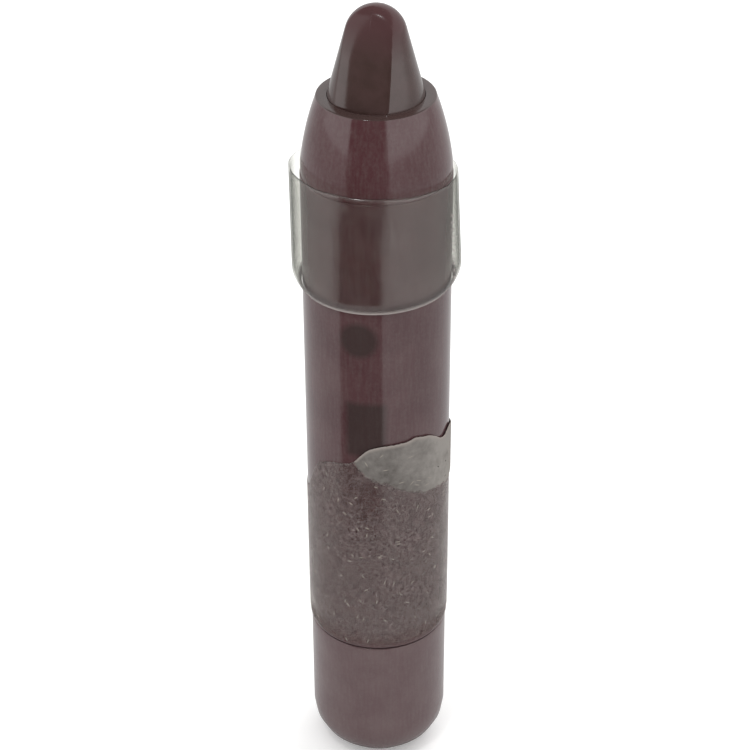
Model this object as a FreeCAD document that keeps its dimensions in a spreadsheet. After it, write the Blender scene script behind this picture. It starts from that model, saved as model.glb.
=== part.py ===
import FreeCAD, Part
import Sketcher
import math
import os
import re

# A twist-up lip crayon, cap off, standing on the end of its twist knob.
# +Z is up along the crayon's axis, -Y is the front, and the origin is the middle of the flat
# that it stands on. All sizes are in millimetres, and the bullet is partly wound out.
#
# How it works: the knob carries a screw up the middle of the barrel. A nut on the foot of the
# bullet's cup is kept from turning by two keys in the guide sleeve, so a turned knob raises
# or lowers the cup and the bullet.

# ---------------------------------------------------------------- driving sizes

SIZES = {
    # barrel
    "barrel_dia": 14.0,
    "barrel_len": 50.65,
    "barrel_wall": 1.0,
    "foot_lip_wall": 1.5,       # thicker wall at the foot, which the retaining ring sits over
    "foot_lip_height": 3.15,
    "foot_break": 0.2,          # broken edge at the knob seam
    "top_break": 0.1,
    # twist knob
    "knob_step": 0.1,           # knob's surface under the barrel's
    "knob_height": 16.0,
    "knob_wall": 1.0,
    "knob_rounding": 3.6,
    # nose cone
    "nose_height": 7.6,
    "neck_step": 0.07,          # neck's surface under the barrel's
    "nose_neck_height": 1.1,
    "rim_wall": 0.95,
    "nose_bow": 28.0,           # radius of the slightly convex taper
    "nose_plug_len": 6.0,
    "rim_rounding": 0.25,
    # bullet
    "bullet_dia": 8.8,
    "bullet_out": 8.4,          # from the rim to the tip, as it stands
    "tip_radius": 2.8,
    "tip_half_angle": 15.0,     # degrees
    "bullet_gap": 0.12,         # bullet to nose bore
    # travel from where it stands, and lead of the screw
    "travel_up": 11.0,
    "travel_down": 10.0,
    "thread_lead": 3.0,
    # cup and stem
    "cup_wall": 0.45,
    "cup_depth": 4.5,
    "cup_floor": 0.8,
    "cup_below_rim": 0.2,       # cup's edge under the nose rim, wound fully out
    "stem_wall": 0.7,
    # lift nut
    "nut_flange_height": 2.0,
    "nut_spigot_height": 4.0,
    "nut_wall": 0.46,           # outside the thread's groove
    "nut_clear": 0.6,           # nut above the hub, wound fully in
    "key_width": 1.4,
    "key_stop": 0.3,            # keyway left over, wound fully out
    # lead screw
    "core_dia": 3.2,
    "thread_height": 0.6,
    "thread_root": 1.1,         # width of the ridge where it meets the core
    "thread_crest": 0.6,
    "thread_clear": 0.12,       # all round the ridge, in the nut
    "screw_top_clear": 0.3,
    "collar_step": 1.0,
    "collar_height": 0.4,
    "thread_runout": 0.8,       # plain core between the collar and the first turn
    "shank_dia": 3.0,
    "shank_len": 5.5,
    "tang_len": 2.5,
    "tang_wide": 2.6,
    "tang_thick": 1.4,
    # drive hub
    "plug_len": 5.0,            # part of the hub that is inside the knob
    "hub_web": 1.0,
    "hub_boss_dia": 6.0,
    "hub_skirt_wall": 1.08,
    "hub_boss_floor": 1.2,      # under the tang's slot
    "hub_top_land": 0.95,       # above the retaining ring's groove
    # seals and rings
    "oring_groove_depth": 0.9,
    "oring_groove_width": 1.2,
    "oring_from_foot": 0.95,    # barrel's foot to the lower side of the groove
    "oring_gap": 0.03,
    "ring_thick": 0.6,
    "ring_groove_depth": 0.8,
    "ring_open_angle": 40.0,    # degrees left open in the snap ring
    "washer_thick": 0.2,
    "washer_inset": 0.4,        # washer's edge inside the knob's
    # guide sleeve
    "sleeve_bore_gap": 0.2,     # sleeve's bore to the cup
    "keyway_wall": 0.68,        # left outside a keyway
    "sleeve_above_hub": 0.3,
    # seal film round the cap joint, and label film round the lower barrel
    "seal_len": 12.55,
    "seal_below_nose": 11.05,   # top of the barrel to the seal's foot
    "seal_top_gap": 0.55,       # inside of the seal to the barrel's surface, at the top
    "seal_foot_gap": 0.75,      # the same, just above the seal's foot
    "seal_film": 0.15,
    "seal_lip_gap": 0.06,       # seal's turned-in foot to the barrel
    "seal_skew": 1.1,           # how much longer the seal is on its left than on its right
    "seal_tilt": 1.4,           # degrees, the top leans to the left
    "label_film": 0.07,
    "label_foot": 0.3,          # above the barrel's foot
    "label_left": 16.6,         # heights of the torn edge above the barrel's foot
    "label_front": 25.0,
    "label_right": 23.4,
    "label_back": 18.5,
    # fits
    "turn_gap": 0.05,           # along the axis, between faces that turn on each other
    "run_gap": 0.1,             # round a piece that slides or turns
    "seat_gap": 0.02,           # round a piece that is pressed or glued in
}

# ---------------------------------------------------------------- worked out sizes

WORKED = {
    # heights
    "barrel_foot": "knob_height + washer_thick + turn_gap",
    "barrel_top": "barrel_foot + barrel_len",
    "foot_break_top": "barrel_foot + foot_break",
    "top_break_foot": "barrel_top - top_break",
    "lip_top": "barrel_foot + foot_lip_height",
    "knob_break_foot": "knob_height - foot_break",
    "washer_top": "knob_height + washer_thick",
    "neck_top": "barrel_top + nose_neck_height",
    "rim_height": "barrel_top + nose_height",
    "rim_edge_foot": "rim_height - rim_rounding",
    "nose_plug_foot": "barrel_top - nose_plug_len",
    "tip_height": "rim_height + bullet_out",
    "cup_top": "rim_height - cup_below_rim - travel_up",
    "cup_seat": "cup_top - cup_depth",
    "cup_foot": "cup_seat - cup_floor",
    "hub_foot": "knob_height - plug_len",
    "hub_web_foot": "knob_height - hub_web",
    "boss_foot": "slot_foot - hub_boss_floor",
    "ring_foot": "lip_top + turn_gap",
    "ring_top": "ring_foot + ring_thick",
    "ring_groove_top": "ring_top + turn_gap",
    "hub_top": "ring_groove_top + hub_top_land",
    "oring_groove_foot": "barrel_foot + oring_from_foot",
    "oring_groove_top": "oring_groove_foot + oring_groove_width",
    "oring_middle": "oring_groove_foot + oring_groove_width / 2",
    "shank_foot": "hub_top - shank_len",
    "tang_foot": "shank_foot - tang_len",
    "slot_foot": "tang_foot - seat_gap",
    "slot_len": "tang_len + seat_gap",
    "collar_top": "hub_top + collar_height",
    "thread_start": "collar_top + thread_runout",
    "screw_top": "cup_foot - travel_down - screw_top_clear",
    "thread_len": "screw_top - thread_start - thread_root",
    "nut_foot": "hub_top + nut_clear + travel_down",
    "nut_flange_top": "nut_foot + nut_flange_height",
    "nut_top": "nut_flange_top + nut_spigot_height",
    "groove_start": "thread_start + thread_lead * (floor((nut_foot - thread_start) / thread_lead) - 1)",
    "groove_len": "nut_top - groove_start + thread_lead",
    "sleeve_foot": "hub_top + sleeve_above_hub",
    "keyway_len": "nut_flange_top + travel_up + key_stop - sleeve_foot",
    "seal_foot": "barrel_top - seal_below_nose",
    "label_foot_height": "barrel_foot + label_foot",
    "tear_left": "barrel_foot + label_left",
    "tear_front": "barrel_foot + label_front",
    "tear_right": "barrel_foot + label_right",
    "tear_back": "barrel_foot + label_back",
    "label_cut_top": "tear_front + barrel_dia",
    # radii
    "barrel_out": "barrel_dia / 2",
    "barrel_in": "barrel_out - barrel_wall",
    "barrel_foot_out": "barrel_out - foot_break",
    "barrel_top_out": "barrel_out - top_break",
    "lip_in": "barrel_out - foot_lip_wall",
    "knob_out": "barrel_out - knob_step",
    "knob_in": "knob_out - knob_wall",
    "knob_top_out": "knob_out - foot_break",
    "knob_flat": "knob_out - knob_rounding",
    "knob_in_rounding": "knob_rounding - knob_wall",
    "neck_out": "barrel_out - neck_step",
    "rim_out": "nose_in + rim_wall",
    "rim_face_out": "rim_out - rim_rounding",
    "nose_in": "bullet_dia / 2 + bullet_gap",
    "nose_plug_out": "barrel_in - seat_gap",
    "bullet_r": "bullet_dia / 2",
    "cone_top_r": "tip_radius * cos(tip_half_angle)",
    "cone_top": "tip_height - tip_radius + tip_radius * sin(tip_half_angle)",
    "cone_foot": "cone_top - (bullet_r - cone_top_r) / tan(tip_half_angle)",
    "cup_out": "nose_in - run_gap",
    "cup_in": "cup_out - cup_wall",
    "bullet_foot_r": "cup_in - seat_gap",
    "spigot_out": "groove_crest_r + nut_wall",
    "stem_in": "spigot_out + seat_gap",
    "stem_out": "stem_in + stem_wall",
    "key_half": "key_width / 2",
    "keyway_half": "key_half + run_gap",
    "keyway_reach": "sleeve_out - keyway_wall",
    "key_reach": "keyway_reach - run_gap",
    "sleeve_in": "cup_out + sleeve_bore_gap",
    "sleeve_out": "barrel_in - seat_gap",
    "core_r": "core_dia / 2",
    "crest_r": "core_r + thread_height",
    "ridge_foot_r": "core_r - thread_clear",
    "nut_bore": "core_r + thread_clear",
    "groove_crest_r": "crest_r + thread_clear",
    "groove_foot_r": "core_r",
    "collar_r": "core_r + collar_step",
    "shank_r": "shank_dia / 2",
    "shank_hole": "shank_r + seat_gap",
    "tang_half_wide": "tang_wide / 2",
    "tang_half_thick": "tang_thick / 2",
    "slot_half_wide": "tang_half_wide + seat_gap",
    "slot_half_thick": "tang_half_thick + seat_gap",
    "plug_out": "knob_in - seat_gap",
    "skirt_in": "plug_out - hub_skirt_wall",
    "boss_r": "hub_boss_dia / 2",
    "spigot_r": "lip_in - run_gap",
    "oring_groove_r": "spigot_r - oring_groove_depth",
    "oring_mean": "(oring_groove_r + lip_in) / 2",
    "oring_section": "(lip_in - oring_groove_r) / 2 - oring_gap",
    "ring_groove_r": "spigot_r - ring_groove_depth",
    "ring_in": "ring_groove_r + turn_gap",
    "ring_out": "barrel_in - run_gap",
    "ring_sweep": "360 - ring_open_angle",
    "washer_in": "spigot_r + turn_gap",
    "washer_out": "knob_out - washer_inset",
    "seal_top_in": "barrel_out + seal_top_gap",
    "seal_foot_in": "barrel_out + seal_foot_gap",
    "seal_top_out": "seal_top_in + seal_film",
    "seal_foot_out": "seal_foot_in + seal_film",
    "seal_lip_in": "barrel_out + seal_lip_gap",
    "seal_cut_half": "seal_foot_out * 2",
    "seal_cut_left": "seal_len + seal_skew / 2",
    "seal_cut_right": "seal_len - seal_skew * 3 / 2",
    "seal_cut_top": "seal_len + seal_skew",
    "label_in": "barrel_out + seat_gap",
    "label_out": "label_in + label_film",
    "label_cut_half": "barrel_dia",
    # half widths of the screw's ridge and of the nut's groove, at the root and at the crest
    "ridge_root_low": "thread_start - thread_root / 2",
    "ridge_root_high": "thread_start + thread_root / 2",
    "ridge_crest_low": "thread_start - thread_crest / 2",
    "ridge_crest_high": "thread_start + thread_crest / 2",
    "groove_root_low": "groove_start - thread_root / 2 - thread_clear",
    "groove_root_high": "groove_start + thread_root / 2 + thread_clear",
    "groove_crest_low": "groove_start - thread_crest / 2 - thread_clear",
    "groove_crest_high": "groove_start + thread_crest / 2 + thread_clear",
}

doc = FreeCAD.newDocument("TwistUpCrayon")
size_sheet = doc.addObject("Spreadsheet::Sheet", "Sizes")
for row, (word, value) in enumerate(SIZES.items(), start=1):
    size_sheet.set(f"A{row}", word)
    size_sheet.set(f"B{row}", str(value))
    size_sheet.setAlias(f"B{row}", word)
doc.recompute()


def cell(word):
    """The expression that reads one named size. A leading minus sign is kept."""
    sign, name = ("-", word[1:]) if word.startswith("-") else ("", word)
    return f"{sign}Sizes.{name}" if name in SIZES else f"{sign}Worked.{name}"


def formula(text):
    """A worked out size's words as an expression, with each name pointing at its sheet."""
    def known(match):
        word = match.group()
        return cell(word) if word in SIZES or word in WORKED else word
    return "=" + re.sub(r"[a-z_]+", known, text)


work_sheet = doc.addObject("Spreadsheet::Sheet", "Worked")
for row, word in enumerate(WORKED, start=1):
    work_sheet.set(f"A{row}", word)
    work_sheet.setAlias(f"B{row}", word)
for row, text in enumerate(WORKED.values(), start=1):
    work_sheet.set(f"B{row}", formula(text))
doc.recompute()


def number(word):
    """The present value of one named size, used to start a sketch near its solution."""
    sign, name = (-1, word[1:]) if word.startswith("-") else (1, word)
    return sign * float(getattr(size_sheet if name in SIZES else work_sheet, name))


# ---------------------------------------------------------------- drawing helpers

def new_body(label):
    body = doc.addObject("PartDesign::Body", label)
    body.Label = label
    return body


def new_sketch(body, name, role="XZ_Plane", height=None):
    """A sketch on one of the body's own origin planes, raised to a named height."""
    sketch = body.newObject("Sketcher::SketchObject", name)
    plane = next(p for p in body.Origin.OriginFeatures if p.Role == role)
    sketch.AttachmentSupport = (plane, "")
    sketch.MapMode = "FlatFace"
    if height:
        sketch.setExpression("AttachmentOffset.Base.z", cell(height))
    return sketch


def bow_between(a, b, radius, side):
    """An arc from a to b. side is 1 where it bulges to the left of the way from a to b, else -1."""
    chord = b - a
    middle = (a + b) * 0.5
    left = FreeCAD.Vector(-chord.y, chord.x, 0).normalize()
    reach = math.sqrt(max(radius ** 2 - (chord.Length / 2) ** 2, 0))
    centre = middle - left * side * reach
    circle = Part.Circle(centre, FreeCAD.Vector(0, 0, 1), radius)
    first, last = (b, a) if side > 0 else (a, b)
    start, stop = [math.atan2(p.y - centre.y, p.x - centre.x) for p in (first, last)]
    return Part.ArcOfCircle(circle, start, stop if stop > start else stop + 2 * math.pi)


def draw(sketch, points):
    """A closed outline. Each point is (across, up), as names of sizes, or None for 0.

    A third and fourth item make the edge that arrives at the point an arc: its radius's name,
    and the side it bulges to, 1 for left and -1 for right of the way along the outline.
    """
    places = [FreeCAD.Vector(number(p[0]) if p[0] else 0, number(p[1]) if p[1] else 0, 0)
              for p in points]
    ends = []
    for index, point in enumerate(points):
        before, here = places[index - 1], places[index]
        if len(point) == 4:
            edge = sketch.addGeometry(bow_between(before, here, number(point[2]), point[3]), False)
            ends.append((edge, 2, 1) if point[3] > 0 else (edge, 1, 2))
            rule = sketch.addConstraint(Sketcher.Constraint("Radius", edge, number(point[2])))
            sketch.setExpression(f"Constraints[{rule}]", cell(point[2]))
        else:
            edge = sketch.addGeometry(Part.LineSegment(before, here), False)
            ends.append((edge, 1, 2))
    for index, point in enumerate(points):
        edge, _, end = ends[index]
        after, start, _ = ends[(index + 1) % len(points)]
        sketch.addConstraint(Sketcher.Constraint("Coincident", edge, end, after, start))
        for kind, word, axis in (("DistanceX", point[0], -2), ("DistanceY", point[1], -1)):
            if word:
                rule = sketch.addConstraint(
                    Sketcher.Constraint(kind, -1, 1, edge, end, number(word)))
                sketch.setExpression(f"Constraints[{rule}]", cell(word))
            else:
                sketch.addConstraint(Sketcher.Constraint("PointOnObject", edge, end, axis))


def turn(body, points, name="Turned"):
    """A solid of revolution about the vertical axis from an outline of (radius, height)."""
    sketch = new_sketch(body, f"{name}Outline")
    draw(sketch, points)
    solid = body.newObject("PartDesign::Revolution", name)
    solid.Profile = sketch
    solid.ReferenceAxis = (sketch, ["V_Axis"])
    solid.Angle = 360
    doc.recompute()
    return solid


def bar(body, name, half_x, half_y, foot):
    """A sketch of a rectangle centred on the axis, at a named height."""
    sketch = new_sketch(body, name, "XY_Plane", foot)
    draw(sketch, [(f"-{half_x}", f"-{half_y}"), (half_x, f"-{half_y}"),
                  (half_x, half_y), (f"-{half_x}", half_y)])
    return sketch


def raise_bar(body, name, half_x, half_y, foot, length):
    solid = body.newObject("PartDesign::Pad", name)
    solid.Profile = bar(body, f"{name}Outline", half_x, half_y, foot)
    solid.setExpression("Length", cell(length))
    doc.recompute()


def cut_bar(body, name, half_x, half_y, foot, length):
    """Cuts a rectangle upwards from a named height."""
    hole = body.newObject("PartDesign::Pocket", name)
    hole.Profile = bar(body, f"{name}Outline", half_x, half_y, foot)
    hole.Reversed = True
    hole.setExpression("Length", cell(length))
    doc.recompute()


def wind(body, kind, name, points, length):
    """A left-handed helical ridge or groove from an outline of (radius, height)."""
    sketch = new_sketch(body, f"{name}Outline")
    draw(sketch, points)
    helix = body.newObject(f"PartDesign::{kind}", name)
    helix.Profile = sketch
    helix.ReferenceAxis = (sketch, ["V_Axis"])
    helix.Mode = "pitch-height-angle"
    helix.setExpression("Pitch", cell("thread_lead"))
    helix.setExpression("Height", cell(length))
    helix.LeftHanded = True
    doc.recompute()


def trim(body, name, points, reverse):
    """Cuts an outline of (across, height) away from one half of a film, front or back."""
    sketch = new_sketch(body, f"{name}Outline")
    draw(sketch, points)
    cut = body.newObject("PartDesign::Pocket", name)
    cut.Profile = sketch
    cut.Type = "ThroughAll"
    cut.Reversed = reverse
    doc.recompute()


# ---------------------------------------------------------------- fixed pieces

def make_barrel():
    """The outer tube. Its foot is thicker inside, as a shoulder for the retaining ring."""
    body = new_body("barrel")
    turn(body, [("lip_in", "barrel_foot"), ("barrel_foot_out", "barrel_foot"),
                ("barrel_out", "foot_break_top"), ("barrel_out", "top_break_foot"),
                ("barrel_top_out", "barrel_top"), ("barrel_in", "barrel_top"),
                ("barrel_in", "lip_top"), ("lip_in", "lip_top")])
    return body


def make_nose_cone():
    """The tapered nose with the mouth that the bullet comes out of, plugged into the barrel."""
    body = new_body("nose_cone")
    turn(body, [("nose_in", "nose_plug_foot"), ("nose_plug_out", "nose_plug_foot"),
                ("nose_plug_out", "barrel_top"), ("neck_out", "barrel_top"),
                ("neck_out", "neck_top"), ("rim_out", "rim_edge_foot", "nose_bow", -1),
                ("rim_face_out", "rim_height", "rim_rounding", -1), ("nose_in", "rim_height")])
    return body


def make_guide_sleeve():
    """The inner tube, with two keyways from its foot that end where the travel ends."""
    body = new_body("guide_sleeve")
    turn(body, [("sleeve_in", "sleeve_foot"), ("sleeve_out", "sleeve_foot"),
                ("sleeve_out", "nose_plug_foot"), ("sleeve_in", "nose_plug_foot")])
    cut_bar(body, "Keyways", "keyway_reach", "keyway_half", "sleeve_foot", "keyway_len")
    return body


def make_seal_band():
    """What is left of the clear shrink seal: a thin sleeve that kept the cap's diameter.

    It is drawn upright about its own foot and then leaned over with its Placement.
    """
    body = new_body("seal_band")
    turn(body, [("seal_lip_in", None), ("seal_foot_out", None), ("seal_top_out", "seal_len"),
                ("seal_top_in", "seal_len"), ("seal_foot_in", "seal_film"),
                ("seal_lip_in", "seal_film")])
    sketch = new_sketch(body, "TopCutOutline")
    draw(sketch, [("-seal_cut_half", "seal_cut_top"), ("-seal_cut_half", "seal_cut_left"),
                  ("seal_cut_half", "seal_cut_right"), ("seal_cut_half", "seal_cut_top")])
    cut = body.newObject("PartDesign::Pocket", "TopCut")
    cut.Profile = sketch
    cut.Type = "ThroughAll"
    cut.Midplane = True
    lean = FreeCAD.Rotation(FreeCAD.Vector(0, -1, 0), number("seal_tilt"))
    body.Placement = FreeCAD.Placement(FreeCAD.Vector(0, 0, number("seal_foot")), lean)
    body.setExpression("Placement.Base.z", cell("seal_foot"))
    body.setExpression("Placement.Rotation.Angle", cell("seal_tilt"))
    doc.recompute()
    return body


def make_label_film():
    """The clear label film round the lower barrel, torn off along its top edge."""
    body = new_body("label_film")
    turn(body, [("label_in", "label_foot_height"), ("label_out", "label_foot_height"),
                ("label_out", "tear_front"), ("label_in", "tear_front")])
    for name, middle, reverse in (("FrontTear", "tear_front", True),
                                  ("BackTear", "tear_back", False)):
        trim(body, name, [("-label_cut_half", "label_cut_top"), ("-label_cut_half", "tear_left"),
                          ("-label_in", "tear_left"), (None, middle), ("label_in", "tear_right"),
                          ("label_cut_half", "tear_right"), ("label_cut_half", "label_cut_top")],
             reverse)
    return body


# ---------------------------------------------------------------- pieces that turn

def make_twist_knob():
    """The knob: a cup with a rounded end, open at the top where the hub plugs in."""
    body = new_body("twist_knob")
    turn(body, [(None, None), ("knob_flat", None), ("knob_out", "knob_rounding", "knob_rounding", -1),
                ("knob_out", "knob_break_foot"), ("knob_top_out", "knob_height"),
                ("knob_in", "knob_height"), ("knob_in", "knob_rounding"),
                ("knob_flat", "knob_wall", "knob_in_rounding", 1), (None, "knob_wall")])
    return body


def make_drive_hub():
    """The hub: plugged into the knob, and held in the barrel's foot by the retaining ring."""
    body = new_body("drive_hub")
    turn(body, [(None, "boss_foot"), ("boss_r", "boss_foot"), ("boss_r", "hub_web_foot"),
                ("skirt_in", "hub_web_foot"), ("skirt_in", "hub_foot"), ("plug_out", "hub_foot"),
                ("plug_out", "knob_height"), ("spigot_r", "knob_height"),
                ("spigot_r", "oring_groove_foot"), ("oring_groove_r", "oring_groove_foot"),
                ("oring_groove_r", "oring_groove_top"), ("spigot_r", "oring_groove_top"),
                ("spigot_r", "ring_foot"), ("ring_groove_r", "ring_foot"),
                ("ring_groove_r", "ring_groove_top"), ("spigot_r", "ring_groove_top"),
                ("spigot_r", "hub_top"), ("shank_hole", "hub_top"),
                ("shank_hole", "shank_foot"), (None, "shank_foot")])
    cut_bar(body, "TangSlot", "slot_half_wide", "slot_half_thick", "slot_foot", "slot_len")
    return body


def make_lead_screw():
    """The screw: a flat tang and a shank in the hub, a collar on it, and a coarse thread."""
    body = new_body("lead_screw")
    turn(body, [(None, "shank_foot"), ("shank_r", "shank_foot"), ("shank_r", "hub_top"),
                ("collar_r", "hub_top"), ("collar_r", "collar_top"), ("core_r", "collar_top"),
                ("core_r", "screw_top"), (None, "screw_top")])
    raise_bar(body, "Tang", "tang_half_wide", "tang_half_thick", "tang_foot", "tang_len")
    wind(body, "AdditiveHelix", "Thread",
         [("ridge_foot_r", "ridge_root_low"), ("core_r", "ridge_root_low"),
          ("crest_r", "ridge_crest_low"), ("crest_r", "ridge_crest_high"),
          ("core_r", "ridge_root_high"), ("ridge_foot_r", "ridge_root_high")], "thread_len")
    return body


def make_retaining_ring():
    """A flat steel snap ring in the hub's upper groove, over the shoulder in the barrel."""
    body = new_body("retaining_ring")
    solid = turn(body, [("ring_in", "ring_foot"), ("ring_out", "ring_foot"),
                        ("ring_out", "ring_top"), ("ring_in", "ring_top")])
    solid.Midplane = True
    solid.setExpression("Angle", cell("ring_sweep"))
    doc.recompute()
    return body


def make_o_ring():
    """The rubber ring in the hub's lower groove, which gives the knob its drag."""
    ring = doc.addObject("Part::Torus", "o_ring")
    ring.Label = "o_ring"
    ring.setExpression("Radius1", cell("oring_mean"))
    ring.setExpression("Radius2", cell("oring_section"))
    ring.setExpression("Placement.Base.z", cell("oring_middle"))
    doc.recompute()
    return ring


def make_thrust_washer():
    """The thin washer that the barrel's foot turns on, seen as the dark line of the seam."""
    body = new_body("thrust_washer")
    turn(body, [("washer_in", "knob_height"), ("washer_out", "knob_height"),
                ("washer_out", "washer_top"), ("washer_in", "washer_top")])
    return body


# ---------------------------------------------------------------- pieces that rise

def make_bullet_cup():
    """The cup that holds the bullet's foot, and the hollow stem under it."""
    body = new_body("bullet_cup")
    turn(body, [(None, "cup_foot"), ("stem_in", "cup_foot"), ("stem_in", "nut_flange_top"),
                ("stem_out", "nut_flange_top"), ("stem_out", "cup_foot"), ("cup_out", "cup_foot"),
                ("cup_out", "cup_top"), ("cup_in", "cup_top"), ("cup_in", "cup_seat"),
                (None, "cup_seat")])
    return body


def make_lift_nut():
    """The nut in the stem's foot. Its two keys run in the sleeve's keyways."""
    body = new_body("lift_nut")
    turn(body, [(None, "nut_foot"), ("cup_out", "nut_foot"), ("cup_out", "nut_flange_top"),
                ("spigot_out", "nut_flange_top"), ("spigot_out", "nut_top"), (None, "nut_top")])
    raise_bar(body, "Keys", "key_reach", "key_half", "nut_foot", "nut_flange_height")
    bore = new_sketch(body, "BoreOutline")
    draw(bore, [(None, "nut_foot"), ("nut_bore", "nut_foot"), ("nut_bore", "nut_top"),
                (None, "nut_top")])
    cut = body.newObject("PartDesign::Groove", "Bore")
    cut.Profile = bore
    cut.ReferenceAxis = (bore, ["V_Axis"])
    cut.Angle = 360
    doc.recompute()
    wind(body, "SubtractiveHelix", "ThreadGroove",
         [("groove_foot_r", "groove_root_low"), ("nut_bore", "groove_root_low"),
          ("groove_crest_r", "groove_crest_low"), ("groove_crest_r", "groove_crest_high"),
          ("nut_bore", "groove_root_high"), ("groove_foot_r", "groove_root_high")], "groove_len")
    return body


def make_lip_bullet():
    """The wax bullet: a rounded tip, a cone, a cylinder, and a narrower foot in the cup."""
    body = new_body("lip_bullet")
    turn(body, [(None, "cup_seat"), ("bullet_foot_r", "cup_seat"), ("bullet_foot_r", "cup_top"),
                ("bullet_r", "cup_top"), ("bullet_r", "cone_foot"), ("cone_top_r", "cone_top"),
                (None, "tip_height", "tip_radius", -1)])
    return body


pieces = [
    make_barrel(), make_nose_cone(), make_guide_sleeve(), make_seal_band(), make_label_film(),
    make_twist_knob(), make_drive_hub(), make_lead_screw(), make_retaining_ring(), make_o_ring(),
    make_thrust_washer(), make_bullet_cup(), make_lift_nut(), make_lip_bullet(),
]

# ---------------------------------------------------------------- checks and export

doc.recompute()
for item in doc.Objects:
    if {"Invalid", "Error"} & set(item.State):
        raise RuntimeError(f"{item.Name} did not compute: {item.State}")
for piece in pieces:
    if piece.Shape.isNull() or not piece.Shape.isValid() or len(piece.Shape.Solids) != 1:
        raise RuntimeError(f"{piece.Label} is not one valid solid")

os.makedirs("parts", exist_ok=True)
for piece in pieces:
    piece.Shape.exportStep(f"parts/{piece.Label}.step")
    box = piece.Shape.BoundBox
    print(f"{piece.Label:16} {piece.Shape.Volume:9.3f} mm3   z {box.ZMin:7.3f} to {box.ZMax:7.3f}"
          f"   r {max(box.XMax, box.YMax):6.3f}")
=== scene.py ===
# %% [markdown]
# # A twist-up lip crayon
#
# The object is a chubby lip crayon with its cap off, standing on the end of its twist knob.
# The knob, the barrel and the nose cone are injection moulded in one dark burgundy plastic.
# A piece of clear shrink seal is still round the nose, and a clear label film, torn along
# its top, is round the lower barrel.
#
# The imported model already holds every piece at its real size. This lesson rebuilds the pieces
# that show with fine rounded edges, gives every other piece a finish, and lights the whole.

# %% Load the frame
import math

import bmesh
import bpy
from mathutils import Matrix, Vector, noise


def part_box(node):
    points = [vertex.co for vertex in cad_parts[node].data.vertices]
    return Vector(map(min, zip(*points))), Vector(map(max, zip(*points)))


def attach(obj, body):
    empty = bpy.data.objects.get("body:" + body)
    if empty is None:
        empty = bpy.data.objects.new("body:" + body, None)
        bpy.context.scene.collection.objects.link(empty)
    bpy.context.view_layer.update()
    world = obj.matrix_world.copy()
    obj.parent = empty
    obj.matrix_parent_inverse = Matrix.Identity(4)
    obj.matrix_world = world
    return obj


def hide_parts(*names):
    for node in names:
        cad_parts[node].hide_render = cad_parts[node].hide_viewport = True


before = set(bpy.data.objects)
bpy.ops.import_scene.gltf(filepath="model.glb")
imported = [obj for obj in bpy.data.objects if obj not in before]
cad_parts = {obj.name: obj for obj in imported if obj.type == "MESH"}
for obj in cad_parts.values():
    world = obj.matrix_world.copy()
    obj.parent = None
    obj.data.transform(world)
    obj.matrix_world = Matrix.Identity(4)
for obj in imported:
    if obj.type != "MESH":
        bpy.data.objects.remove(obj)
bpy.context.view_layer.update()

MM = 0.001               # every size below is in millimetres, and a mesh is in metres

# %% [markdown]
# ## Sizes read from the frame
#
# Each piece is round, so three numbers place it: its largest radius, its foot and its top.
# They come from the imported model, so the looks follow the design if a size there changes.

# %% Read the round pieces
def reach(node):
    """A round piece's largest radius, its foot and its top, in millimetres."""
    low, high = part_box(node)
    return high.x / MM, low.z / MM, high.z / MM


KNOB_R, KNOB_FOOT, KNOB_TOP = reach("twist_knob")
BARREL_R, BARREL_FOOT, BARREL_TOP = reach("barrel")
NECK_R, PLUG_FOOT, RIM_TOP = reach("nose_cone")
BULLET_R, BULLET_FOOT, TIP = reach("lip_bullet")
FILM_R, FILM_FOOT, _ = reach("label_film")
print(f"barrel radius {BARREL_R:.2f}, foot {BARREL_FOOT:.2f}, top {BARREL_TOP:.2f}; tip {TIP:.2f}")

# %% [markdown]
# ## Outlines
#
# A moulded piece never has a truly sharp edge. An outline here is a list of corners, each
# with its own rounding, and the roundings are filled in as short arcs. Long straight
# stretches are then divided, so that the quads stay even and the shading stays flat.

# %% Turn corners into a smooth outline
ARC_STEPS = 5            # segments in each rounded corner
LONGEST = 0.8            # longest straight step along an outline
EDGE_BREAK = 0.1         # rounding of an edge that the mould leaves nearly sharp


def corner_arc(before, corner, after, rounding):
    """The points that round one corner of an outline."""
    back, ahead = (before - corner).normalized(), (after - corner).normalized()
    half = back.angle(ahead) / 2
    centre = corner + (back + ahead).normalized() * rounding / math.sin(half)
    start, end = [corner + way * rounding / math.tan(half) - centre for way in (back, ahead)]
    first = math.atan2(start.y, start.x)
    sweep = (math.atan2(end.y, end.x) - first + math.pi) % (2 * math.pi) - math.pi
    turns = [first + sweep * step / ARC_STEPS for step in range(ARC_STEPS + 1)]
    return [centre + Vector((math.cos(turn), math.sin(turn))) * rounding for turn in turns]


def bow(start, end, radius, steps=10):
    """Points of a shallow outward arc from start to end, both included, each unrounded."""
    start, end = Vector(start), Vector(end)
    chord = end - start
    out = Vector((chord.y, -chord.x)).normalized()
    centre = (start + end) / 2 - out * math.sqrt(radius ** 2 - (chord.length / 2) ** 2)
    first, last = [math.atan2(*(p - centre).yx) for p in (start, end)]
    turns = [first + (last - first) * step / steps for step in range(steps + 1)]
    return [(*(centre + Vector((math.cos(t), math.sin(t))) * radius), 0) for t in turns]


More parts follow.
